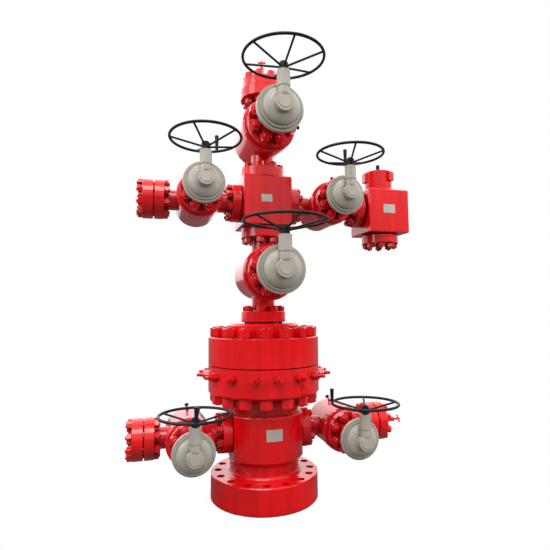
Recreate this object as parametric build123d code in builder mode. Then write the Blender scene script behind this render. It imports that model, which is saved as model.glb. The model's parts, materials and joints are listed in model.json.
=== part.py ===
from build123d import *
from dataclasses import dataclass, replace
import os

# Oil wellhead valve stack. Millimetres, Z up, origin at the centre of the base flange's underside.
# The valve stems and handwheels face -Y, the wings lie along X.

# Tubing head: the flanged spool that the stack stands on
top_flange_radius = 342.0
base_flange_step = 15.0
base_flange_radius = top_flange_radius - base_flange_step
base_flange_thickness = 152.0
base_bolt_edge = 44.425
base_bolt_circle = 2 * (base_flange_radius - base_bolt_edge)
base_bolt_count = 16
base_bolt_hole_radius = 23.8
base_edge_chamfer = 5.0
ring_groove_radius = 164.0
ring_groove_width = 16.0
ring_groove_depth = 13.0
main_bore_radius = 139.7
head_neck_radius = 212.0
head_neck_fillet = 24.0
barrel_radius = 243.0
barrel_bottom = 223.0
barrel_bottom_chamfer = 31.0
barrel_top = 513.0
barrel_top_round = 14.0
outlet_height = 386.0
outlet_flat_depth = 33.0
outlet_flat = barrel_radius - outlet_flat_depth
outlet_bore_radius = 32.5
top_flange_bottom = 624.0
top_flange_thickness = 166.0
top_flange_chamfer = 10.0
top_neck_radius = 214.0
raised_face_radius = 205.0

# Raised faces keep every flange pair this far apart, half on each flange
flange_gap = 6.0

# Tie-down screws in the rim of the top flange
tie_down_count = 16
tie_down_height = 737.0
gland_width = 46.0
gland_length = 34.0
tie_down_screw_radius = 12.0
tie_down_length = 72.0
tie_down_square = 17.0
tie_down_square_length = 22.0

# Adapter: thick disc with a raised hub
adapter_thickness = 167.0
adapter_hub_radius = 219.0
adapter_hub_height = 83.0
adapter_hub_chamfer = 14.0

# Cross block
cross_width = 304.0
cross_height = 306.0
block_chamfer = 5.0

# Tree cap and its bleed valve
cap_radius = 124.0
cap_thickness = 60.0

# Positive choke
choke_inlet = 4.0
choke_width = 292.0
choke_depth = 284.0
choke_above_axis = 120.0
choke_below_axis = 168.0
choke_neck_radius = 90.0
choke_neck_height = 41.0
choke_nut_radius = 92.0
choke_nut_height = 104.0
choke_lug_radius = 109.0
choke_lug_width = 50.0
choke_lug_height = 60.0
choke_lug_inset = 9.0
choke_lug_count = 3
choke_lug_turn = 176.0
choke_plug_radius = 10.0
choke_plug_height = 43.0
outlet_flange_radius = 123.0
outlet_flange_thickness = 58.0

# Blind flanges on the ends of the wings
left_blind_thickness = 62.0
right_blind_thickness = 58.0

# Needle valves
needle_hex_radius = 25.0
needle_hex_length = 48.0
needle_shoulder_radius = 21.0
needle_neck_radius = 14.0
needle_neck_start = 66.0
needle_neck_end = 100.0
needle_stem_radius = 7.0
needle_length = 146.0
needle_handle_radius = 5.5
needle_handle_length = 52.0
needle_handle_inset = 9.0

# Running clearances
shaft_clearance = 0.3
seat_clearance = 0.2


@dataclass
class ValveSize:
    """Sizes of one gate valve with its bevel gearbox and handwheel; distances run out along the stem."""
    face_to_face: float
    flange_radius: float
    flange_thickness: float
    flange_face_radius: float
    neck_radius: float
    neck_fillet: float
    body_radius: float
    body_back: float
    body_back_chamfer: float
    body_ring_radius: float
    body_ring_start: float
    body_ring_edge: float
    body_front: float
    bonnet_radius: float
    bonnet_edge: float
    bonnet_flange_thickness: float
    bonnet_neck_radius: float
    bonnet_cone_length: float
    box_mount_radius: float
    box_mount_thickness: float
    box_mount: float
    cone_radius: float
    cone_front: float
    box_radius: float
    box_back: float
    box_front: float
    step_radius: float
    step_front: float
    cover_radius: float
    cover_front: float
    dome_front: float
    boss_radius: float
    boss_front: float
    pinion_distance: float
    tube_radius: float
    tube_bottom: float
    tube_top: float
    collar_radius: float
    collar_height: float
    shaft_radius: float
    shaft_bottom: float
    hub_radius: float
    hub_height: float
    hub_bottom: float
    wheel_radius: float
    rim_radius: float
    rim_height: float
    spoke_radius: float
    spoke_count: int
    grip_radius: float
    grip_length: float


large = ValveSize(
    face_to_face=598.0, flange_radius=139.0, flange_thickness=66.0, flange_face_radius=92.0,
    neck_radius=71.5, neck_fillet=12.0,
    body_radius=152.0, body_back=202.0, body_back_chamfer=38.0,
    body_ring_radius=166.0, body_ring_start=115.0, body_ring_edge=11.0, body_front=190.0,
    bonnet_radius=148.0, bonnet_edge=7.0, bonnet_flange_thickness=58.0, bonnet_neck_radius=72.0,
    bonnet_cone_length=44.0,
    box_mount_radius=96.0, box_mount_thickness=20.0, box_mount=340.0, cone_radius=126.0, cone_front=402.0,
    box_radius=137.0, box_back=413.0, box_front=437.0, step_radius=120.0, step_front=450.0,
    cover_radius=106.0, cover_front=462.0, dome_front=492.0, boss_radius=54.0, boss_front=525.0,
    pinion_distance=500.0, tube_radius=34.0, tube_bottom=48.0, tube_top=179.0,
    collar_radius=37.0, collar_height=90.0,
    shaft_radius=14.0, shaft_bottom=62.0, hub_radius=26.0, hub_height=38.0, hub_bottom=185.0,
    wheel_radius=223.0, rim_radius=8.0, rim_height=254.0, spoke_radius=6.0, spoke_count=6,
    grip_radius=9.0, grip_length=72.0)

small = ValveSize(
    face_to_face=524.0, flange_radius=119.0, flange_thickness=56.0, flange_face_radius=78.0,
    neck_radius=62.0, neck_fillet=10.0,
    body_radius=131.0, body_back=165.0, body_back_chamfer=30.0,
    body_ring_radius=137.0, body_ring_start=100.0, body_ring_edge=8.0, body_front=160.0,
    bonnet_radius=123.0, bonnet_edge=6.0, bonnet_flange_thickness=50.0, bonnet_neck_radius=60.0,
    bonnet_cone_length=36.0,
    box_mount_radius=82.0, box_mount_thickness=18.0, box_mount=292.0, cone_radius=104.0, cone_front=347.0,
    box_radius=116.0, box_back=356.0, box_front=374.0, step_radius=102.0, step_front=385.0,
    cover_radius=90.0, cover_front=394.0, dome_front=419.0, boss_radius=44.0, boss_front=462.0,
    pinion_distance=440.0, tube_radius=29.0, tube_bottom=39.0, tube_top=154.0,
    collar_radius=32.0, collar_height=78.0,
    shaft_radius=12.0, shaft_bottom=51.0, hub_radius=23.0, hub_height=34.0, hub_bottom=160.0,
    wheel_radius=182.0, rim_radius=7.5, rim_height=214.0, spoke_radius=5.5, spoke_count=5,
    grip_radius=8.5, grip_length=70.0)

grip_taper = 2.0

# The wing valves have deeper dished wheels
wing_tube_top = 149.0
wing_hub_bottom = 155.0
wing_wheel_radius = 189.0
wing_rim_height = 220.0
wing_grip_length = 86.0
wing = replace(
    small, tube_top=wing_tube_top, hub_bottom=wing_hub_bottom, wheel_radius=wing_wheel_radius,
    rim_height=wing_rim_height, grip_length=wing_grip_length)

# The lower left valve is shorter along the bore
lower_left_face_to_face = 506.0
lower_left_box_radius = 114.0
lower_left = replace(small, face_to_face=lower_left_face_to_face, box_radius=lower_left_box_radius)

# Levels up the stack
half_gap = flange_gap / 2
top_flange_top = top_flange_bottom + top_flange_thickness
adapter_bottom = top_flange_top + flange_gap
adapter_top = adapter_bottom + adapter_thickness
adapter_face = adapter_top + adapter_hub_height
master_height = adapter_face + large.face_to_face / 2
cross_bottom = adapter_face + large.face_to_face
wing_height = cross_bottom + cross_height / 2
cross_top = cross_bottom + cross_height
swab_height = cross_top + large.face_to_face / 2
cap_bottom = cross_top + large.face_to_face

# Places along the wings
wing_offset = cross_width / 2 + wing.face_to_face / 2
wing_end = cross_width / 2 + wing.face_to_face
left_offset = outlet_flat + lower_left.face_to_face / 2
left_end = outlet_flat + lower_left.face_to_face
right_offset = outlet_flat + small.face_to_face / 2
right_end = outlet_flat + small.face_to_face
choke_axis = wing_end + half_gap + choke_inlet + choke_width / 2

stem_direction = Vector(0, -1, 0)

# Each valve: name, size, place of its centre, direction of flow, turn of the wheel, place of the grip,
# and how far its stem tilts up
valves = [
    ("master_valve", large, (0, 0, master_height), (0, 0, 1), 33.0, None, 0.0),
    ("swab_valve", large, (0, 0, swab_height), (0, 0, 1), 29.0, None, 0.0),
    ("left_wing_valve", wing, (-wing_offset, 0, wing_height), (1, 0, 0), 29.0, 64.0, 3.2),
    ("right_wing_valve", wing, (wing_offset, 0, wing_height), (1, 0, 0), 39.0, 74.0, 0.0),
    ("lower_left_valve", lower_left, (-left_offset, 0, outlet_height), (1, 0, 0), 5.5, 266.0, 0.0),
    ("lower_right_valve", small, (right_offset, 0, outlet_height), (1, 0, 0), 66.5, 157.0, 0.0),
]


def save(builder, name, centre=(0, 0, 0), tilt=0.0):
    """Label a finished piece, tilt it up about the wing's axis if asked, and write its STEP file."""
    piece = builder.part
    if tilt:
        piece = piece.rotate(Axis(centre, (1, 0, 0)), -tilt)
    piece.label = name
    export_step(piece, f"parts/{name}.step")


def stem_plane(centre):
    """Plane through a valve's centre: x runs out along the stem, y upwards."""
    return Plane(origin=centre, x_dir=stem_direction, z_dir=(-1, 0, 0))


def tubing_head():
    """Spool with its base flange, neck, barrel with two flat outlets, and thick top flange."""
    base_top = base_flange_thickness
    groove_inner = ring_groove_radius - ring_groove_width / 2
    groove_outer = ring_groove_radius + ring_groove_width / 2
    with BuildPart() as head:
        with BuildSketch(Plane.XZ):
            with BuildLine():
                Polyline(
                    (main_bore_radius, 0), (groove_inner, 0), (groove_inner, ring_groove_depth),
                    (groove_outer, ring_groove_depth), (groove_outer, 0),
                    (base_flange_radius - base_edge_chamfer, 0), (base_flange_radius, base_edge_chamfer),
                    (base_flange_radius, base_top - base_edge_chamfer),
                    (base_flange_radius - base_edge_chamfer, base_top),
                    (head_neck_radius + head_neck_fillet, base_top))
                TangentArc(
                    (head_neck_radius + head_neck_fillet, base_top),
                    (head_neck_radius, base_top + head_neck_fillet), tangent=(-1, 0))
                Polyline(
                    (head_neck_radius, base_top + head_neck_fillet), (head_neck_radius, barrel_bottom),
                    (barrel_radius, barrel_bottom + barrel_bottom_chamfer),
                    (barrel_radius, barrel_top - barrel_top_round))
                TangentArc(
                    (barrel_radius, barrel_top - barrel_top_round),
                    (barrel_radius - barrel_top_round, barrel_top), tangent=(0, 1))
                Polyline(
                    (barrel_radius - barrel_top_round, barrel_top), (top_neck_radius, barrel_top),
                    (top_neck_radius, top_flange_bottom - head_neck_fillet))
                TangentArc(
                    (top_neck_radius, top_flange_bottom - head_neck_fillet),
                    (top_neck_radius + head_neck_fillet, top_flange_bottom), tangent=(0, 1))
                Polyline(
                    (top_neck_radius + head_neck_fillet, top_flange_bottom),
                    (top_flange_radius - top_flange_chamfer, top_flange_bottom),
                    (top_flange_radius, top_flange_bottom + top_flange_chamfer),
                    (top_flange_radius, top_flange_top), (raised_face_radius, top_flange_top),
                    (raised_face_radius, top_flange_top + half_gap),
                    (main_bore_radius, top_flange_top + half_gap), (main_bore_radius, 0))
            make_face()
        revolve(axis=Axis.Z)
        for side in (-1, 1):
            with BuildSketch(Plane(origin=(side * outlet_flat, 0, 0), x_dir=(0, 1, 0), z_dir=(side, 0, 0))):
                with Locations((0, side * (barrel_bottom + barrel_top) / 2)):
                    Rectangle(2 * barrel_radius, barrel_top - barrel_bottom)
            extrude(amount=barrel_radius, mode=Mode.SUBTRACT)
        with BuildSketch(Plane(origin=(-outlet_flat, 0, outlet_height), x_dir=(0, 1, 0), z_dir=(1, 0, 0))):
            Circle(outlet_bore_radius)
        extrude(amount=2 * outlet_flat, mode=Mode.SUBTRACT)
        with BuildSketch(Plane.XY):
            with PolarLocations(base_bolt_circle / 2, base_bolt_count, start_angle=180 / base_bolt_count):
                Circle(base_bolt_hole_radius)
        extrude(amount=base_flange_thickness, mode=Mode.SUBTRACT)
    return head


def tie_down_screws():
    """Ring of radial screws, each with its hexagonal gland nut and a squared outer end."""
    with BuildPart() as screws:
        for turn in range(tie_down_count):
            angle = 360 / tie_down_count * turn
            outward = Vector(1, 0, 0).rotate(Axis.Z, angle)
            across = Vector(0, 1, 0).rotate(Axis.Z, angle)
            rim = outward * top_flange_radius + Vector(0, 0, tie_down_height)
            with BuildSketch(Plane(origin=rim, x_dir=across, z_dir=outward)):
                RegularPolygon(gland_width / 2, 6, major_radius=False)
            extrude(amount=gland_length)
            with BuildSketch(Plane(origin=rim, x_dir=across, z_dir=outward)):
                Circle(tie_down_screw_radius)
            extrude(amount=tie_down_length - tie_down_square_length)
            tip = rim + outward * (tie_down_length - tie_down_square_length)
            with BuildSketch(Plane(origin=tip, x_dir=across, z_dir=outward)):
                Rectangle(tie_down_square, tie_down_square)
            extrude(amount=tie_down_square_length)
    return screws


def adapter():
    """Thick disc that closes the tubing head, with the hub that carries the master valve."""
    with BuildPart() as disc:
        with BuildSketch(Plane.XZ):
            with BuildLine():
                Polyline(
                    (0, adapter_bottom - half_gap), (raised_face_radius, adapter_bottom - half_gap),
                    (raised_face_radius, adapter_bottom), (top_flange_radius, adapter_bottom),
                    (top_flange_radius, adapter_top - base_edge_chamfer),
                    (top_flange_radius - base_edge_chamfer, adapter_top),
                    (adapter_hub_radius, adapter_top),
                    (adapter_hub_radius, adapter_face - half_gap - adapter_hub_chamfer),
                    (adapter_hub_radius - adapter_hub_chamfer, adapter_face - half_gap),
                    (large.flange_face_radius, adapter_face - half_gap),
                    (large.flange_face_radius, adapter_face), (0, adapter_face), close=True)
            make_face()
        revolve(axis=Axis.Z)
    return disc


def valve_body(size, centre, flow):
    """Round barrel across the flow, with a neck and a flange on each side."""
    back = -size.body_back
    face = size.face_to_face / 2
    flange_front = face - half_gap
    flange_back = flange_front - size.flange_thickness
    edge = base_edge_chamfer / 2
    with BuildPart() as body:
        with BuildSketch(stem_plane(centre)):
            with BuildLine():
                Polyline(
                    (back, 0), (back, size.body_radius - size.body_back_chamfer),
                    (back + size.body_back_chamfer, size.body_radius),
                    (size.body_ring_start, size.body_radius),
                    (size.body_ring_start, size.body_ring_radius),
                    (size.body_front - size.body_ring_edge, size.body_ring_radius),
                    (size.body_front, size.body_ring_radius - size.body_ring_edge),
                    (size.body_front, 0), close=True)
            make_face()
        revolve(axis=Axis(centre, stem_direction))
        for way in (1, -1):
            with BuildSketch(Plane(origin=centre, x_dir=Vector(flow) * way, z_dir=(0, 1, 0))):
                with BuildLine():
                    Polyline((0, 0), (0, size.neck_radius), (flange_back - size.neck_fillet, size.neck_radius))
                    TangentArc(
                        (flange_back - size.neck_fillet, size.neck_radius),
                        (flange_back, size.neck_radius + size.neck_fillet), tangent=(1, 0))
                    Polyline(
                        (flange_back, size.neck_radius + size.neck_fillet),
                        (flange_back, size.flange_radius - edge), (flange_back + edge, size.flange_radius),
                        (flange_front - edge, size.flange_radius), (flange_front, size.flange_radius - edge),
                        (flange_front, size.flange_face_radius), (face, size.flange_face_radius),
                        (face, 0), (0, 0))
                make_face()
            revolve(axis=Axis(centre, flow))
    return body


def valve_bonnet(size, centre):
    """Bolted bonnet flange with the cone and neck that reach the gearbox."""
    front = size.body_front + size.bonnet_flange_thickness
    with BuildPart() as bonnet:
        with BuildSketch(stem_plane(centre)):
            with BuildLine():
                Polyline(
                    (size.body_front, 0), (size.body_front, size.bonnet_radius),
                    (front - size.bonnet_edge, size.bonnet_radius), (front, size.bonnet_radius - size.bonnet_edge),
                    (front, size.box_mount_radius), (front + size.bonnet_cone_length, size.bonnet_neck_radius),
                    (size.box_mount, size.bonnet_neck_radius), (size.box_mount, 0), close=True)
            make_face()
        revolve(axis=Axis(centre, stem_direction))
    return bonnet


def gearbox(size, centre):
    """Bevel gearbox: round stepped housing, domed cover, boss, and the upright pinion tube."""
    mount_front = size.box_mount + size.box_mount_thickness
    edge = base_edge_chamfer / 2
    pinion = Vector(centre) + stem_direction * size.pinion_distance
    bore = size.shaft_radius + shaft_clearance
    with BuildPart() as box:
        with BuildSketch(stem_plane(centre)):
            with BuildLine():
                Polyline(
                    (size.dome_front, size.boss_radius), (size.boss_front - edge, size.boss_radius),
                    (size.boss_front, size.boss_radius - edge), (size.boss_front, 0), (size.box_mount, 0),
                    (size.box_mount, size.box_mount_radius), (mount_front, size.box_mount_radius),
                    (size.cone_front, size.cone_radius), (size.box_back, size.box_radius),
                    (size.box_front - edge, size.box_radius), (size.box_front, size.box_radius - edge),
                    (size.box_front, size.step_radius), (size.step_front, size.step_radius),
                    (size.step_front, size.cover_radius), (size.cover_front, size.cover_radius))
                TangentArc(
                    (size.dome_front, size.boss_radius), (size.cover_front, size.cover_radius),
                    tangent=(-0.12, 1))
            make_face()
        revolve(axis=Axis(centre, stem_direction))
        with BuildSketch(Plane(origin=pinion + Vector(0, 0, size.tube_bottom))):
            Circle(size.tube_radius)
        extrude(amount=size.tube_top - size.tube_bottom)
        with BuildSketch(Plane(origin=pinion + Vector(0, 0, size.tube_top - size.collar_height))):
            Circle(size.collar_radius)
        extrude(amount=size.collar_height)
        with BuildSketch(Plane(origin=pinion + Vector(0, 0, size.shaft_bottom))):
            Circle(bore)
        extrude(amount=size.tube_top, mode=Mode.SUBTRACT)
    return box


def pinion_shaft(size, centre):
    """Shaft that the handwheel turns; it runs in the pinion tube."""
    foot = Vector(centre) + stem_direction * size.pinion_distance
    bottom = size.shaft_bottom + shaft_clearance
    with BuildPart() as shaft:
        with BuildSketch(Plane(origin=foot + Vector(0, 0, bottom))):
            Circle(size.shaft_radius)
        extrude(amount=size.hub_bottom + size.hub_height - bottom)
    return shaft


def handwheel(size, centre, turn, grip):
    """Dished wheel: round rim above the hub, straight round spokes, and a crank grip on some."""
    axle = Vector(centre) + stem_direction * size.pinion_distance
    hub_middle = size.hub_bottom + size.hub_height / 2
    rise = size.rim_height - hub_middle
    start = size.shaft_radius + size.spoke_radius
    between_spokes = Vector(1, 0, 0).rotate(Axis.Z, turn + 90 / size.spoke_count)
    with BuildPart() as wheel:
        with BuildSketch(Plane(origin=axle + Vector(0, 0, size.hub_bottom))):
            Circle(size.hub_radius)
        extrude(amount=size.hub_height)
        rim_side = between_spokes.cross(Vector(0, 0, 1))
        with BuildSketch(Plane(origin=axle, x_dir=between_spokes, z_dir=rim_side)):
            with Locations((size.wheel_radius, size.rim_height)):
                Circle(size.rim_radius)
        revolve(axis=Axis(axle, (0, 0, -1)))
        for spoke in range(size.spoke_count):
            angle = turn + 360 / size.spoke_count * spoke
            outward = Vector(1, 0, 0).rotate(Axis.Z, angle)
            foot = axle + outward * start + Vector(0, 0, hub_middle)
            end = axle + outward * size.wheel_radius + Vector(0, 0, hub_middle + rise)
            with BuildSketch(Plane(origin=foot, z_dir=end - foot)):
                Circle(size.spoke_radius)
            extrude(amount=(end - foot).length)
        if grip is not None:
            outward = Vector(1, 0, 0).rotate(Axis.Z, grip)
            seat = size.rim_height + size.rim_radius + seat_clearance
            with BuildSketch(Plane(origin=axle + outward * size.wheel_radius + Vector(0, 0, seat))):
                Circle(size.grip_radius)
            extrude(amount=size.grip_length, taper=-grip_taper)
        with BuildSketch(Plane(origin=axle + Vector(0, 0, size.hub_bottom))):
            Circle(size.shaft_radius + seat_clearance)
        extrude(amount=size.hub_height, mode=Mode.SUBTRACT)
    return wheel


def cross_block():
    """Forged block where the two wings meet the vertical run."""
    with BuildPart() as block:
        with Locations((0, 0, wing_height)):
            Box(cross_width, cross_width, cross_height)
        chamfer(block.edges(), block_chamfer)
    return block


def flange_disc(origin, direction, radius, thickness, face_radius, bore_radius=0.0):
    """Flange with its raised face at the origin, reaching out along the direction."""
    edge = base_edge_chamfer / 2
    side = Vector(0, 1, 0)
    with BuildPart() as disc:
        with BuildSketch(Plane(origin=origin, x_dir=direction, z_dir=side)):
            with BuildLine():
                Polyline(
                    (0, bore_radius), (0, face_radius), (half_gap, face_radius), (half_gap, radius - edge),
                    (half_gap + edge, radius), (half_gap + thickness - edge, radius),
                    (half_gap + thickness, radius - edge), (half_gap + thickness, bore_radius), close=True)
            make_face()
        revolve(axis=Axis(origin, direction))
    return disc


def needle_valve(origin, direction, handle_direction):
    """Small valve: hexagonal foot, tapered neck, stem and T-handle."""
    out = Vector(direction)
    with BuildPart() as needle:
        with BuildSketch(Plane(origin=origin, z_dir=out)):
            RegularPolygon(needle_hex_radius, 6)
        extrude(amount=needle_hex_length)
        with BuildSketch(Plane(origin=origin, x_dir=out, z_dir=(0, 1, 0))):
            with BuildLine():
                Polyline(
                    (0, 0), (0, needle_shoulder_radius), (needle_hex_length, needle_shoulder_radius),
                    (needle_neck_start, needle_neck_radius), (needle_neck_end, needle_neck_radius),
                    (needle_neck_end, needle_stem_radius), (needle_length, needle_stem_radius),
                    (needle_length, 0), close=True)
            make_face()
        revolve(axis=Axis(origin, direction))
        bar_middle = Vector(origin) + out * (needle_length - needle_handle_inset)
        with BuildSketch(Plane(origin=bar_middle, z_dir=handle_direction)):
            Circle(needle_handle_radius)
        extrude(amount=needle_handle_length / 2, both=True)
    return needle


def choke_body():
    """Choke block with the round neck that its cap screws onto."""
    top = wing_height + choke_above_axis
    bottom = wing_height - choke_below_axis
    with BuildPart() as block:
        with BuildSketch(Plane.XY.offset(bottom)):
            with Locations((choke_axis, 0)):
                Rectangle(choke_width, choke_depth)
        extrude(amount=top - bottom)
        chamfer(block.edges(), block_chamfer)
        with BuildSketch(Plane(origin=(wing_end, 0, wing_height), z_dir=(1, 0, 0))):
            Circle(small.flange_face_radius)
        extrude(amount=half_gap + choke_inlet)
        with BuildSketch(Plane(origin=(choke_axis, 0, top))):
            Circle(choke_neck_radius)
        extrude(amount=choke_neck_height)
        with BuildSketch(Plane(origin=(choke_axis, 0, bottom), z_dir=(0, 0, -1))):
            Circle(small.flange_face_radius)
        extrude(amount=half_gap)
    return block


def choke_nut():
    """Hammer nut with three lugs, and a bleed plug on top."""
    bottom = wing_height + choke_above_axis + choke_neck_height
    with BuildPart() as nut:
        with BuildSketch(Plane(origin=(choke_axis, 0, bottom))):
            Circle(choke_nut_radius)
        extrude(amount=choke_nut_height)
        lug_bottom = bottom + choke_nut_height - choke_lug_inset - choke_lug_height
        with BuildSketch(Plane(origin=(choke_axis, 0, lug_bottom))):
            with PolarLocations(choke_lug_radius / 2, choke_lug_count, start_angle=choke_lug_turn):
                Rectangle(choke_lug_radius, choke_lug_width)
        extrude(amount=choke_lug_height)
        with BuildSketch(Plane(origin=(choke_axis, 0, bottom + choke_nut_height))):
            Circle(choke_plug_radius)
        extrude(amount=choke_plug_height)
    return nut


os.makedirs("parts", exist_ok=True)

save(tubing_head(), "tubing_head")
save(tie_down_screws(), "tie_down_screws")
save(adapter(), "tubing_head_adapter")
save(cross_block(), "cross_block")

for valve_name, size, centre, flow, wheel_turn, grip_angle, tilt in valves:
    save(valve_body(size, centre, flow), f"{valve_name}_body", centre, tilt)
    save(valve_bonnet(size, centre), f"{valve_name}_bonnet", centre, tilt)
    save(gearbox(size, centre), f"{valve_name}_gearbox", centre, tilt)
    save(pinion_shaft(size, centre), f"{valve_name}_pinion_shaft", centre, tilt)
    save(handwheel(size, centre, wheel_turn, grip_angle), f"{valve_name}_handwheel", centre, tilt)

save(flange_disc((0, 0, cap_bottom), (0, 0, 1), cap_radius, cap_thickness,
                 large.flange_face_radius), "tree_cap")
cap_top = cap_bottom + half_gap + cap_thickness
save(needle_valve((0, 0, cap_top), (0, 0, 1), (1, 0, 0.12)), "cap_bleed_valve")

save(choke_body(), "choke_body")
save(choke_nut(), "choke_cap_nut")
choke_bottom = wing_height - choke_below_axis - half_gap
save(flange_disc((choke_axis, 0, choke_bottom), (0, 0, -1), outlet_flange_radius, outlet_flange_thickness,
                 small.flange_face_radius, outlet_bore_radius), "choke_outlet_flange")

save(flange_disc((-wing_end, 0, wing_height), (-1, 0, 0), wing.flange_radius, left_blind_thickness,
                 wing.flange_face_radius), "wing_end_flange")
save(flange_disc((-left_end, 0, outlet_height), (-1, 0, 0), lower_left.flange_radius, left_blind_thickness,
                 lower_left.flange_face_radius), "lower_left_blind_flange")
save(flange_disc((right_end, 0, outlet_height), (1, 0, 0), small.flange_radius, right_blind_thickness,
                 small.flange_face_radius), "lower_right_blind_flange")
needle_root = right_end + half_gap + right_blind_thickness
save(needle_valve((needle_root, 0, outlet_height), (1, 0, 0), (0, 0.8, 1)), "annulus_needle_valve")
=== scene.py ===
import json
import math

import bmesh
import bpy
from mathutils import Matrix, Vector


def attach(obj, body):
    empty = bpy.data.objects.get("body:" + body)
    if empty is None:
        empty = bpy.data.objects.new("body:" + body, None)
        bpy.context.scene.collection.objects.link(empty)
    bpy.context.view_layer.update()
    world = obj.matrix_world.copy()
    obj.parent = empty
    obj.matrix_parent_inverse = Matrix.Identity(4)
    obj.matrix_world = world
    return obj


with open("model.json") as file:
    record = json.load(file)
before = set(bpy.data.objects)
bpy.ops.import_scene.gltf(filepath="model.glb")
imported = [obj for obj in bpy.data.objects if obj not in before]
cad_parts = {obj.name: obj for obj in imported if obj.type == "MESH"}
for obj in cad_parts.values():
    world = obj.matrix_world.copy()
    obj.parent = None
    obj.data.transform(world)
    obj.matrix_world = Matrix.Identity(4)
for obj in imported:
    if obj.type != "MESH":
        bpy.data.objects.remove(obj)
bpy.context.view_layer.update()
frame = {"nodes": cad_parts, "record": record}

# Levels and places of the valve stack, in metres, as the CAD has them
HEAD_TOP = 0.790
HEAD_BOTTOM = 0.624
ADAPTER_TOP = 0.963
ADAPTER_FACE = 1.046
CROSS_BOTTOM = 1.644
CROSS_TOP = 1.950
CAP_BOTTOM = 2.548
MASTER_Z = 1.345
SWAB_Z = 2.249
WING_Z = 1.797
LOWER_Z = 0.386
WING_X = 0.414
LEFT_X = 0.463
RIGHT_X = 0.472
CROSS_HALF = 0.152
OUTLET_FLAT = 0.210
WING_END = 0.676
LEFT_END = 0.716
RIGHT_END = 0.734
CHOKE_X = 0.829
CHOKE_BOTTOM = 1.629
CHOKE_FRONT = -0.142
CHOKE_PLUG_TOP = 2.105
BARREL_RADIUS = 0.243

# Thickness of the flanges that the nuts seat on, and half the gap between two flanges
LARGE_FLANGE = 0.066
SMALL_FLANGE = 0.056
CAP_FLANGE = 0.060
LEFT_BLIND = 0.062
RIGHT_BLIND = 0.058
CHOKE_OUTLET = 0.058
HALF_GAP = 0.003

ACROSS = (1, 0, 0)
BACK = (0, 1, 0)
UP = (0, 0, 1)
DOWN = (0, 0, -1)


# materials

# Scale, detail and roughness of the noise behind the tone and the gloss
TONE_NOISE = (3.0, 4.0, 0.6)
GLOSS_NOISE = (38.0, 5.0, 0.6)
# The tone runs down the stack in streaks: partly random tone, partly painted reflection standing in for streaked
# reflections
STREAKS = (9.0, 9.0, 0.7)
# How far from a corner the painted shade reaches, and the range of occlusion that it fades over
CORNER_REACH = 0.035
CORNER_RANGE = (0.15, 0.8)
BUMP_DEPTH = 0.0006
SHADE_SAMPLES = 4


def new_material(name):
    material = bpy.data.materials.new(name)
    material.use_nodes = True
    material.node_tree.nodes.clear()
    return material, material.node_tree.nodes, material.node_tree.links


def new_node(nodes, kind, values=None, operation=None):
    """Adds a node, and sets its inputs by name or number."""
    node = nodes.new(kind)
    if operation:
        node.operation = operation
    for key, value in (values or {}).items():
        node.inputs[key].default_value = value
    return node


def noise(nodes, links, coordinates, scale, detail=3.0, roughness=0.5):
    texture = new_node(nodes, "ShaderNodeTexNoise", {"Scale": scale, "Detail": detail, "Roughness": roughness})
    links.new(coordinates, texture.inputs["Vector"])
    return texture.outputs["Fac"]


def mapped(nodes, links, value, low, high, from_low=0.3, from_high=0.7):
    ranged = new_node(nodes, "ShaderNodeMapRange",
                      {"From Min": from_low, "From Max": from_high, "To Min": low, "To Max": high})
    links.new(value, ranged.inputs["Value"])
    return ranged.outputs["Result"]


def mixed(nodes, links, factor, first, second):
    mix = nodes.new("ShaderNodeMix")
    mix.data_type = "RGBA"
    links.new(factor, mix.inputs["Factor"])
    for socket, colour in ((mix.inputs["A"], first), (mix.inputs["B"], second)):
        if isinstance(colour, tuple):
            socket.default_value = (*colour, 1.0)
        else:
            links.new(colour, socket)
    return mix.outputs["Result"]


def mix_shaders(nodes, links, factor, first, second):
    mix = nodes.new("ShaderNodeMixShader")
    links.new(factor, mix.inputs["Fac"])
    links.new(first, mix.inputs[1])
    links.new(second, mix.inputs[2])
    return mix.outputs["Shader"]


def added(nodes, links, first, second):
    total = new_node(nodes, "ShaderNodeMath", operation="ADD")
    links.new(first, total.inputs[0])
    links.new(second, total.inputs[1])
    return total.outputs["Value"]


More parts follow.
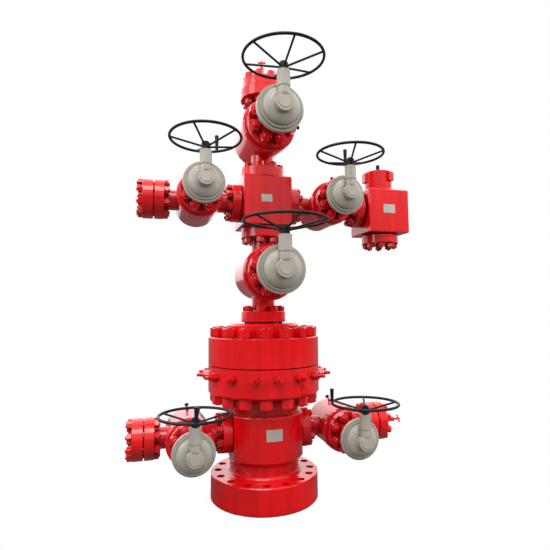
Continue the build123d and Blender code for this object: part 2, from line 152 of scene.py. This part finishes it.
def finish_material(name, colour, second, corner_shade, rough, peel, peel_scale, edge, metallic=0.0, coat=0.0,
                    coat_rough=0.03, specular=0.5):
    """Paint or metal: broad tone change, painted shade in the corners, uneven gloss, fine surface bump, soft
    edges.
    """
    material, nodes, links = new_material(name)
    output = nodes.new("ShaderNodeOutputMaterial")
    shader = new_node(nodes, "ShaderNodeBsdfPrincipled",
                      {"Metallic": metallic, "Specular IOR Level": specular, "Coat Weight": coat,
                       "Coat Roughness": coat_rough})
    links.new(shader.outputs["BSDF"], output.inputs["Surface"])
    place = nodes.new("ShaderNodeTexCoord").outputs["Object"]
    stretched = new_node(nodes, "ShaderNodeMapping", {"Scale": STREAKS})
    # Streaked tone: partly random tone, partly painted reflection.
    links.new(place, stretched.inputs["Vector"])
    broad = mapped(nodes, links, noise(nodes, links, stretched.outputs["Vector"], *TONE_NOISE), 0.0, 1.0)
    tone = mixed(nodes, links, broad, colour, second)
    # Painted shade: a darker colour is mixed in where occlusion is high, darkening corners, creases and gaps.
    occlusion = new_node(nodes, "ShaderNodeAmbientOcclusion", {"Distance": CORNER_REACH})
    occlusion.samples = SHADE_SAMPLES
    shade_mask = mapped(nodes, links, occlusion.outputs["AO"], 1.0, 0.0, *CORNER_RANGE)
    links.new(mixed(nodes, links, shade_mask, tone, corner_shade), shader.inputs["Base Color"])
    gloss = noise(nodes, links, place, *GLOSS_NOISE)
    links.new(mapped(nodes, links, gloss, *rough), shader.inputs["Roughness"])
    bevel = new_node(nodes, "ShaderNodeBevel", {"Radius": edge})
    bevel.samples = SHADE_SAMPLES
    bump = new_node(nodes, "ShaderNodeBump", {"Strength": peel, "Distance": BUMP_DEPTH})
    links.new(noise(nodes, links, place, peel_scale), bump.inputs["Height"])
    links.new(bevel.outputs["Normal"], bump.inputs["Normal"])
    links.new(bump.outputs["Normal"], shader.inputs["Normal"])
    return material


# The third colour of each finish is the painted shade that darkens its corners.
RED = finish_material("red_paint", (0.68, 0.003, 0.005), (0.52, 0.002, 0.004), (0.10, 0.0015, 0.003),
                      rough=(0.30, 0.33), peel=0.22, peel_scale=170.0, edge=0.0022,
                      coat=0.75, coat_rough=0.06, specular=0.15)
GREY = finish_material("grey_paint", (0.375, 0.340, 0.285), (0.315, 0.287, 0.238), (0.20, 0.18, 0.15),
                       rough=(0.40, 0.60), peel=0.55, peel_scale=150.0, edge=0.0018,
                       coat=0.12, coat_rough=0.25)
SLATE = finish_material("slate_paint", (0.0045, 0.005, 0.006), (0.009, 0.010, 0.012), (0.003, 0.003, 0.003),
                        rough=(0.38, 0.50), peel=0.25, peel_scale=300.0, edge=0.0010,
                        coat=0.03, coat_rough=0.20, specular=0.22)
STEEL = finish_material("machined_steel", (0.42, 0.42, 0.43), (0.34, 0.34, 0.35), (0.08, 0.07, 0.06),
                        rough=(0.25, 0.42), peel=0.15, peel_scale=500.0, edge=0.0006, metallic=1.0)
PLATE = finish_material("plate_metal", (0.50, 0.455, 0.405), (0.43, 0.395, 0.355), (0.20, 0.17, 0.15),
                        rough=(0.38, 0.52), peel=0.20, peel_scale=420.0, edge=0.0004, metallic=0.35)

SLOTS = {"red_paint": RED, "grey_paint": GREY, "slate_paint": SLATE, "machined_steel": STEEL}
for subpart in frame["record"]["subparts"]:
    cad = frame["nodes"][subpart["node"]]
    if not cad.material_slots:
        cad.data.materials.append(None)
    for place in cad.material_slots:
        place.material = SLOTS[subpart["material_slot"]]


# mesh helpers

NUT_POINTS = 48
# The circle left flat on a nut, its foot and how far its corners fall, as shares of its size
NUT_FLAT_CIRCLE = 0.985
NUT_FOOT = 0.012
NUT_CORNER_FALL = 0.58
# Each nut of a ring is turned on by this many degrees
NUT_TURN_STEP = 47
# A thread's pitch as a share of the stud, and its other sizes as shares of the pitch
THREAD_PITCH = 0.125
THREAD_DEPTH = 0.55
CREST_START = 0.45
CREST_END = 0.55
TIP_LENGTH = 0.5
TIP_DEPTH = 1.9
# Where the thread starts in the nut, and the bare stud's share of the thread's radius
THREAD_START = 0.98
BARE_STUD = 0.95


def finish_piece(name, mesh, material, body="root"):
    data = bpy.data.meshes.new(name)
    mesh.to_mesh(data)
    mesh.free()
    piece = bpy.data.objects.new(name, data)
    bpy.context.scene.collection.objects.link(piece)
    data.materials.append(material)
    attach(piece, body)
    return piece


def axis_frame(origin, axis, side):
    """Matrix whose Z runs along axis and whose X is as near to side as it can be."""
    up = Vector(axis).normalized()
    across = Vector(side)
    across = (across - up * across.dot(up)).normalized()
    turned = Matrix((across, up.cross(across), up)).transposed().to_4x4()
    turned.translation = Vector(origin)
    return turned


def add_rings(mesh, rings, matrix, smooth=False):
    """Skins a list of rings of points, and closes both ends."""
    placed = [[mesh.verts.new(matrix @ Vector(point)) for point in ring] for ring in rings]
    count = len(placed[0])
    for low, high in zip(placed, placed[1:]):
        for i in range(count):
            j = (i + 1) % count
            face = mesh.faces.new((low[i], low[j], high[j], high[i]))
            face.smooth = smooth
    mesh.faces.new(list(reversed(placed[0])))
    mesh.faces.new(placed[-1])


def circle(radius, height, count=24):
    return [(radius * math.cos(2 * math.pi * i / count), radius * math.sin(2 * math.pi * i / count), height)
            for i in range(count)]


def add_turned(mesh, profile, matrix, count, smooth=False):
    """Turned form from (radius, level) pairs along Z."""
    add_rings(mesh, [circle(radius, level, count) for radius, level in profile], matrix, smooth)


def turned_piece(name, profile, matrix, count, material, smooth=False):
    mesh = bmesh.new()
    add_turned(mesh, profile, matrix, count, smooth)
    return finish_piece(name, mesh, material)


def add_nut(mesh, matrix, flats, height, turn=0.0):
    """Heavy hexagon nut on Z from 0 to height, with its corners turned down top and bottom."""
    half = flats / 2
    flat_circle = half * NUT_FLAT_CIRCLE
    outline = []
    for i in range(NUT_POINTS):
        angle = 2 * math.pi * i / NUT_POINTS
        inside = (angle % (math.pi / 3)) - math.pi / 6
        outline.append((angle + turn, half / math.cos(inside)))

    def ring(level, down):
        points = []
        for angle, reach in outline:
            drop = max(0.0, reach - flat_circle) * NUT_CORNER_FALL
            points.append((reach * math.cos(angle), reach * math.sin(angle), level - down * drop))
        return points

    def flat_ring(level):
        return [(flat_circle * math.cos(angle), flat_circle * math.sin(angle), level) for angle, _ in outline]

    foot = flats * NUT_FOOT
    add_rings(mesh, [flat_ring(0), flat_ring(foot), ring(foot, -1), ring(height, 1), flat_ring(height)], matrix)


def add_thread(mesh, matrix, radius, start, end, pitch):
    """Threaded stud end on Z with a turned-down tip."""
    depth = pitch * THREAD_DEPTH
    profile = [(radius - depth, start)]
    level = start
    for _ in range(max(1, int((end - start - pitch) / pitch))):
        profile += [(radius, level + pitch * CREST_START), (radius, level + pitch * CREST_END),
                    (radius - depth, level + pitch)]
        level += pitch
    profile += [(radius - depth, end - pitch * TIP_LENGTH), (radius - depth * TIP_DEPTH, end)]
    add_turned(mesh, profile, matrix, 24)


def stud_ring(name, centre, axis, side, nuts, spread, bolt_radius, count, flats, height, stud, poke):
    """Ring of studs round an axis. nuts lists (level along the axis, way the nut faces); spread is the stretch
    of bare stud that shows in the gap."""
    mesh = bmesh.new()
    base = axis_frame(centre, axis, side)
    for i in range(count):
        angle = math.radians(180 / count + 360 / count * i)
        hole = base @ Matrix.Translation((bolt_radius * math.cos(angle), bolt_radius * math.sin(angle), 0))
        turn = math.radians(i * NUT_TURN_STEP % 60)
        for level, way in nuts:
            place = hole @ Matrix.Translation((0, 0, level))
            if way < 0:
                place = place @ Matrix.Rotation(math.pi, 4, "X")
            add_nut(mesh, place, flats, height, turn)
            add_thread(mesh, place, stud / 2, height * THREAD_START, height + poke, stud * THREAD_PITCH)
        if spread:
            add_turned(mesh, [(stud / 2 * BARE_STUD, level) for level in spread], hole, 16)
    return finish_piece(name, mesh, RED)


# studs and nuts of the flanges

HEAD = dict(bolt_radius=0.2955, count=16, flats=0.0700, height=0.054, stud=0.0445, poke=0.006)
LARGE = dict(bolt_radius=0.108, count=8, flats=0.0460, height=0.0300, stud=0.0270, poke=0.006)
CAP = dict(bolt_radius=0.0985, count=8, flats=0.0470, height=0.0340, stud=0.0270, poke=0.006)
SMALL = dict(bolt_radius=0.0935, count=8, flats=0.0420, height=0.0260, stud=0.0240, poke=0.008)

# Bare stud in the gap between two flanges, and between a flange and a block
BETWEEN = (-0.01, 0.01)
ON_BLOCK = (-0.003, 0.01)


def seat(thickness):
    """Nut on the near flange, whose face is half the gap away."""
    return HALF_GAP + thickness, 1


def far_seat(thickness):
    """Nut behind the other flange, facing away."""
    return -HALF_GAP - thickness, -1


stud_ring("head_studs", (0, 0, 0), UP, ACROSS, [(ADAPTER_TOP, 1), (HEAD_BOTTOM, -1)],
          (HEAD_TOP - 0.02, HEAD_TOP + 0.03), **HEAD)
stud_ring("master_lower_studs", (0, 0, ADAPTER_FACE), UP, ACROSS, [seat(LARGE_FLANGE)], BETWEEN, **LARGE)
stud_ring("master_upper_studs", (0, 0, CROSS_BOTTOM), DOWN, ACROSS, [seat(LARGE_FLANGE)], ON_BLOCK, **LARGE)
stud_ring("swab_lower_studs", (0, 0, CROSS_TOP), UP, ACROSS, [seat(LARGE_FLANGE)], ON_BLOCK, **LARGE)
stud_ring("cap_studs", (0, 0, CAP_BOTTOM), UP, ACROSS,
          [seat(CAP_FLANGE), far_seat(LARGE_FLANGE)], BETWEEN, **CAP)

for way, side_name, end, blind in ((-1, "left", LEFT_END, LEFT_BLIND),
                                   (1, "right", RIGHT_END, RIGHT_BLIND)):
    out = (way, 0, 0)
    stud_ring(f"{side_name}_wing_inner_studs", (way * CROSS_HALF, 0, WING_Z), out, BACK,
              [seat(SMALL_FLANGE)], ON_BLOCK, **SMALL)
    stud_ring(f"{side_name}_lower_inner_studs", (way * OUTLET_FLAT, 0, LOWER_Z), out, BACK,
              [seat(SMALL_FLANGE)], ON_BLOCK, **SMALL)
    stud_ring(f"{side_name}_lower_outer_studs", (way * end, 0, LOWER_Z), out, BACK,
              [seat(blind), far_seat(SMALL_FLANGE)], BETWEEN, **SMALL)
stud_ring("wing_end_studs", (-WING_END, 0, WING_Z), (-1, 0, 0), BACK,
          [seat(LEFT_BLIND), far_seat(SMALL_FLANGE)], BETWEEN, **SMALL)
stud_ring("choke_inlet_studs", (WING_END, 0, WING_Z), (-1, 0, 0), BACK, [seat(SMALL_FLANGE)], ON_BLOCK, **SMALL)
stud_ring("choke_outlet_studs", (CHOKE_X, 0, CHOKE_BOTTOM), DOWN, ACROSS,
          [(2 * HALF_GAP + CHOKE_OUTLET, 1)], ON_BLOCK, **SMALL)


# bonnets, gearboxes and wheels

# Size, place and upward tilt of the stem in degrees
VALVES = {
    "master_valve": ("large", 0.0, MASTER_Z, 0.0),
    "swab_valve": ("large", 0.0, SWAB_Z, 0.0),
    "left_wing_valve": ("wing", -WING_X, WING_Z, 3.2),
    "right_wing_valve": ("wing", WING_X, WING_Z, 0.0),
    "lower_left_valve": ("small", -LEFT_X, LOWER_Z, 0.0),
    "lower_right_valve": ("small", RIGHT_X, LOWER_Z, 0.0)}
# Distances from the bore along the stem (front, pinion, screw_out, boss_front), levels above it along the
# wheel's axle (hub_top, tube_foot) and radii, as the CAD has them
SIZES = {
    "large": dict(front=0.248, pinion=0.500, screw_out=0.4880, boss_front=0.525, hub_top=0.223, tube_foot=0.048,
                  screw_ring=0.063, tube=0.034, boss=0.054, hub_flats=0.036,
                  bonnet=dict(bolt_radius=0.1175, count=8, flats=0.0600, height=0.040, stud=0.0350, poke=0.010)),
    "small": dict(front=0.210, pinion=0.440, screw_out=0.4155, boss_front=0.462, hub_top=0.194, tube_foot=0.039,
                  screw_ring=0.052, tube=0.029, boss=0.044, hub_flats=0.032,
                  bonnet=dict(bolt_radius=0.0970, count=8, flats=0.0500, height=0.034, stud=0.0290, poke=0.010))}
SIZES["wing"] = dict(SIZES["small"], hub_top=0.189)

HUB_NUT_HEIGHT = 0.008
HUB_NUT_TURN = 0.3
HUB_THREAD = dict(start=0.0077, end=0.012, pitch=0.002)
# Radius of the hub nut's thread, as a share of the nut's width
HUB_THREAD_SHARE = 0.29
# The cover screws sit at this angle on each side of the axle, and lean out with the cover
SCREW_ANGLE = 0.70
SCREW_ALONG = 0.87
SCREW_AROUND = 0.5
SCREW_FLATS = 0.009
SCREW_HEIGHT = 0.007
# The tapered foot is set in by its skin, laps the tube's end, and falls this many times as far as it narrows
FOOT_SKIN = 0.0002
FOOT_LAP = 0.001
FOOT_SLOPE = 2.5
# Share of the boss under the bearing cap; levels and edge of the cap
BEARING_CAP_SHARE = 0.70
BEARING_CAP_LEVELS = (-0.001, 0.0012, 0.0030)
BEARING_CAP_EDGE = 0.0018
TURNED_POINTS = 64

for valve, (kind, x, z, tilt) in VALVES.items():
    size = SIZES[kind]
    lean = math.radians(tilt)
    stem = Vector((0, -math.cos(lean), math.sin(lean)))
    axle = Vector((0, math.sin(lean), math.cos(lean)))
    centre = Vector((x, 0, z))
    pinion = centre + stem * size["pinion"]
    stud_ring(f"{valve}_bonnet_studs", centre + stem * size["front"], stem, ACROSS, [(0.0, 1)], None,
              **size["bonnet"])

    mesh = bmesh.new()
    top = axis_frame(pinion + axle * size["hub_top"], axle, ACROSS)
    add_nut(mesh, top, size["hub_flats"], HUB_NUT_HEIGHT, HUB_NUT_TURN)
    add_thread(mesh, top, size["hub_flats"] * HUB_THREAD_SHARE, **HUB_THREAD)
    finish_piece(f"{valve}_hub_nut", mesh, SLATE, f"{valve}_wheel")

    mesh = bmesh.new()
    for way in (-1, 1):
        around = Vector(ACROSS) * math.sin(way * SCREW_ANGLE) + axle * math.cos(SCREW_ANGLE)
        foot = centre + stem * size["screw_out"] + around * size["screw_ring"]
        leaning = stem * SCREW_ALONG + around * SCREW_AROUND
        add_nut(mesh, axis_frame(foot, leaning, ACROSS), SCREW_FLATS, SCREW_HEIGHT)
    finish_piece(f"{valve}_cover_screws", mesh, GREY)

    # tapered end of the pinion tube, down to the front of the boss
    skin = size["tube"] - FOOT_SKIN
    tip = size["boss_front"] - size["pinion"]
    foot = size["tube_foot"]
    taper = [(skin, foot + FOOT_LAP), (skin, foot - FOOT_LAP),
             (tip - FOOT_LAP, foot - (size["tube"] - tip) * FOOT_SLOPE)]
    turned_piece(f"{valve}_tube_foot", taper, axis_frame(pinion, axle, ACROSS), TURNED_POINTS,
                 GREY, smooth=True)

    # low bearing cap on the boss
    cap = size["boss"] * BEARING_CAP_SHARE
    profile = zip((cap, cap, cap - BEARING_CAP_EDGE), BEARING_CAP_LEVELS)
    turned_piece(f"{valve}_bearing_cap", profile, axis_frame(centre + stem * size["boss_front"], stem, ACROSS),
                 TURNED_POINTS, GREY)


# fittings

FITTING_POINTS = 20
# (radius, level) pairs of a grease fitting's stalk and head, and of the cap on the choke's plug
FITTING_STALK = [(0.0095, -0.004), (0.0095, 0.008), (0.0060, 0.010), (0.0060, 0.028)]
FITTING_HEAD = [(0.0070, 0.0275), (0.0110, 0.029), (0.0122, 0.031), (0.0122, 0.038), (0.0095, 0.042),
                (0.0040, 0.044)]
PLUG_CAP = [(0.0125, -0.012), (0.0125, 0.012), (0.0105, 0.016)]


def grease_fitting(name, foot, way, head=SLATE):
    """Small fitting: a stalk with a flat round head."""
    place = axis_frame(foot, way, (1, 0.2, 0))
    turned_piece(f"{name}_stalk", FITTING_STALK, place, FITTING_POINTS, RED)
    turned_piece(f"{name}_head", FITTING_HEAD, place, FITTING_POINTS, head)


grease_fitting("lower_left_grease_fitting", (-LEFT_X, 0.080, LOWER_Z + 0.130), (-0.15, 0, 1))
grease_fitting("lower_right_grease_fitting", (RIGHT_X, 0.080, LOWER_Z + 0.130), (-0.6, 0, 1))
grease_fitting("right_wing_grease_fitting", (WING_X, -0.130, WING_Z + 0.136), (0.5, 0, 1), RED)
grease_fitting("swab_grease_fitting", (0.165, -0.140, SWAB_Z + 0.020), (1, 0, 0.12))
turned_piece("choke_plug_cap", PLUG_CAP, axis_frame((CHOKE_X, 0, CHOKE_PLUG_TOP), UP, ACROSS), 24,
             SLATE)


# plates

PLATE_THICKNESS = 0.0015
PLATE_CORNER = 0.004
CORNER_STEPS = 4
ROUND_PLATE_COLUMNS = 12


def add_rivets(mesh, surface, width, height, inset, profile):
    """Four rivets in the corners of a plate, square to its surface."""
    for sx in (-1, 1):
        for sz in (-1, 1):
            a = sx * (width / 2 - inset)
            b = sz * (height / 2 - inset)
            middle = surface(a, b, PLATE_THICKNESS)
            out = (surface(a, b, PLATE_THICKNESS + 0.01) - middle).normalized()
            add_turned(mesh, profile, axis_frame(middle, out, UP), 16, smooth=True)


def flat_plate(name, x, y, z, width, height):
    """Thin blank plate with rounded corners and four rivets, on an upright face at y."""
    def surface(a, b, lift):
        return Vector((x + a, y - lift, z + b))

    mesh = bmesh.new()
    outline = []
    for quarter, (sx, sz) in enumerate(((1, 1), (-1, 1), (-1, -1), (1, -1))):
        for step in range(CORNER_STEPS + 1):
            angle = math.pi / 2 * (quarter + step / CORNER_STEPS)
            outline.append((sx * (width / 2 - PLATE_CORNER) + PLATE_CORNER * math.cos(angle),
                            sz * (height / 2 - PLATE_CORNER) + PLATE_CORNER * math.sin(angle)))
    rings = [[mesh.verts.new(surface(a * scale, b * scale, lift)) for a, b in outline]
             for scale, lift in ((1.0, 0.0), (1.0, PLATE_THICKNESS * 0.7), (0.985, PLATE_THICKNESS))]
    for low, high in zip(rings, rings[1:]):
        for i in range(len(outline)):
            j = (i + 1) % len(outline)
            mesh.faces.new((low[i], low[j], high[j], high[i]))
    face = mesh.faces.new(rings[-1])
    bmesh.ops.triangulate(mesh, faces=[face])
    add_rivets(mesh, surface, width, height, 0.006, [(0.0022, -0.0005), (0.0022, 0.0004), (0.0016, 0.0010)])
    return finish_piece(name, mesh, PLATE)


def round_plate(name, x, z, width, height, radius):
    """Thin blank plate with four rivets, bent round an upright barrel."""
    middle_angle = math.asin(x / radius)

    def surface(a, b, lift):
        angle = middle_angle + a / radius
        return Vector(((radius + lift) * math.sin(angle), -(radius + lift) * math.cos(angle), z + b))

    mesh = bmesh.new()
    columns = ROUND_PLATE_COLUMNS
    back, front = ([[mesh.verts.new(surface(width * (i / columns - 0.5), height * (j - 0.5), lift))
                     for j in range(2)] for i in range(columns + 1)] for lift in (0.0, PLATE_THICKNESS))
    for i in range(columns):
        mesh.faces.new((front[i][0], front[i + 1][0], front[i + 1][1], front[i][1]))
        mesh.faces.new((back[i][0], back[i + 1][0], front[i + 1][0], front[i][0]))
        mesh.faces.new((front[i][1], front[i + 1][1], back[i + 1][1], back[i][1]))
    for i in (0, columns):
        mesh.faces.new((back[i][0], front[i][0], front[i][1], back[i][1]))
    add_rivets(mesh, surface, width, height, 0.007, [(0.0024, -0.0005), (0.0024, 0.0004), (0.0017, 0.0011)])
    bmesh.ops.recalc_face_normals(mesh, faces=mesh.faces)
    return finish_piece(name, mesh, PLATE)


flat_plate("cross_plate", -0.009, -CROSS_HALF, 1.806, 0.068, 0.046)
flat_plate("choke_plate", 0.8285, CHOKE_FRONT, 1.785, 0.085, 0.058)
round_plate("head_plate", 0.003, 0.4095, 0.096, 0.066, BARREL_RADIUS)


# floor

WHITE = (1.0, 1.0, 1.0, 1.0)
FLOOR_SIZE = 40.0

floor_mesh = bmesh.new()
bmesh.ops.create_grid(floor_mesh, x_segments=1, y_segments=1, size=FLOOR_SIZE)
floor_data = bpy.data.meshes.new("floor")
floor_mesh.to_mesh(floor_data)
floor_mesh.free()
floor = bpy.data.objects.new("floor", floor_data)
bpy.context.scene.collection.objects.link(floor)

# Near the stack the floor takes a soft shadow, and farther out it fades to plain white. Only the camera sees
# that: to the light it is a dull grey floor.
material, nodes, links = new_material("floor_white")
output = nodes.new("ShaderNodeOutputMaterial")
diffuse = new_node(nodes, "ShaderNodeBsdfDiffuse", {"Color": (0.60, 0.60, 0.60, 1.0)})
glow = new_node(nodes, "ShaderNodeEmission", {"Color": WHITE, "Strength": 0.50})
near = nodes.new("ShaderNodeAddShader")
links.new(diffuse.outputs["BSDF"], near.inputs[0])
links.new(glow.outputs["Emission"], near.inputs[1])
far = new_node(nodes, "ShaderNodeEmission", {"Color": WHITE, "Strength": 1.0})
place = nodes.new("ShaderNodeTexCoord").outputs["Object"]
reach = new_node(nodes, "ShaderNodeVectorMath", operation="LENGTH")
links.new(place, reach.inputs[0])
fade = mix_shaders(nodes, links, mapped(nodes, links, reach.outputs["Value"], 0.0, 1.0, 0.55, 1.3),
                   near.outputs["Shader"], far.outputs["Emission"])
bounce = new_node(nodes, "ShaderNodeBsdfDiffuse", {"Color": (0.12, 0.12, 0.12, 1.0)})
path = nodes.new("ShaderNodeLightPath")
seen_floor = mix_shaders(nodes, links, path.outputs["Is Camera Ray"], bounce.outputs["BSDF"], fade)
links.new(seen_floor, output.inputs["Surface"])
floor_data.materials.append(material)


# world

# The camera sees white. The light comes from a sky that brightens with height, more from the back, and from a
# patch at the back left.
world = bpy.data.worlds.new("studio")
bpy.context.scene.world = world
world.use_nodes = True
nodes = world.node_tree.nodes
links = world.node_tree.links
nodes.clear()
output = nodes.new("ShaderNodeOutputWorld")
seen = new_node(nodes, "ShaderNodeBackground", {"Color": WHITE, "Strength": 1.0})
cast = new_node(nodes, "ShaderNodeBackground", {"Color": (0.97, 0.985, 1.0, 1.0)})
place = nodes.new("ShaderNodeTexCoord").outputs["Generated"]
split = nodes.new("ShaderNodeSeparateXYZ")
links.new(place, split.inputs["Vector"])
behind = new_node(nodes, "ShaderNodeVectorMath", {1: (-0.46, 0.87, 0.15)}, "DOT_PRODUCT")
links.new(place, behind.inputs[0])
sky = mapped(nodes, links, split.outputs["Z"], 0.05, 1.25, -0.02, 0.40)
back_lobe = mapped(nodes, links, split.outputs["Y"], 0.0, 0.75, 0.0, 0.9)
left_lobe = mapped(nodes, links, behind.outputs["Value"], 0.0, 0.4, 0.65, 0.95)
links.new(added(nodes, links, added(nodes, links, sky, back_lobe), left_lobe), cast.inputs["Strength"])
path = nodes.new("ShaderNodeLightPath")
surroundings = mix_shaders(nodes, links, path.outputs["Is Camera Ray"],
                           cast.outputs["Background"], seen.outputs["Background"])
links.new(surroundings, output.inputs["Surface"])


# lights: name, place, aim, width, height, power in watts, and whether the gloss mirrors it. The right light would
# burn out the tops of the nuts in the views from behind.

LIGHTS = (("top_light", (-1.7, -4.6, 8.2), (0, 0, 1.2), 5.5, 3.5, 470, True),
          ("left_light", (-4.2, -1.8, 3.2), (0, 0, 1.7), 2.2, 3.2, 95, True),
          ("right_light", (6.4, -3.9, 3.6), (0, 0, 1.6), 3.0, 3.6, 360, False))
for name, place, aim, width, height, power, mirrored in LIGHTS:
    data = bpy.data.lights.new(name, "AREA")
    data.shape = "RECTANGLE"
    data.size = width
    data.size_y = height
    data.energy = power
    light = bpy.data.objects.new(name, data)
    light.location = place
    light.rotation_euler = (Vector(aim) - Vector(place)).to_track_quat("-Z", "Y").to_euler()
    light.visible_glossy = mirrored
    bpy.context.scene.collection.objects.link(light)


# camera, fitted to the photo

CAMERA_PLACE = (-0.6837, -2.7721, 1.1269)
CAMERA_YAW = math.radians(15.39)
CAMERA_PITCH = math.radians(4.36)
CAMERA_ROLL = math.radians(-0.5)
CAMERA_LENS = 29.45
CAMERA_SENSOR = 36.0

forward = Vector((math.sin(CAMERA_YAW) * math.cos(CAMERA_PITCH), math.cos(CAMERA_YAW) * math.cos(CAMERA_PITCH),
                  math.sin(CAMERA_PITCH)))
right = Vector((math.cos(CAMERA_YAW), -math.sin(CAMERA_YAW), 0))
camera_data = bpy.data.cameras.new("camera")
camera_data.sensor_width = CAMERA_SENSOR
camera_data.sensor_fit = "HORIZONTAL"
camera_data.lens = CAMERA_LENS
camera = bpy.data.objects.new("camera", camera_data)
turn = Matrix((right, right.cross(forward), -forward)).transposed().to_4x4() @ Matrix.Rotation(CAMERA_ROLL, 4, "Z")
camera.matrix_world = Matrix.Translation(CAMERA_PLACE) @ turn
bpy.context.scene.collection.objects.link(camera)
bpy.context.scene.camera = camera
bpy.context.scene.view_settings.view_transform = "Standard"
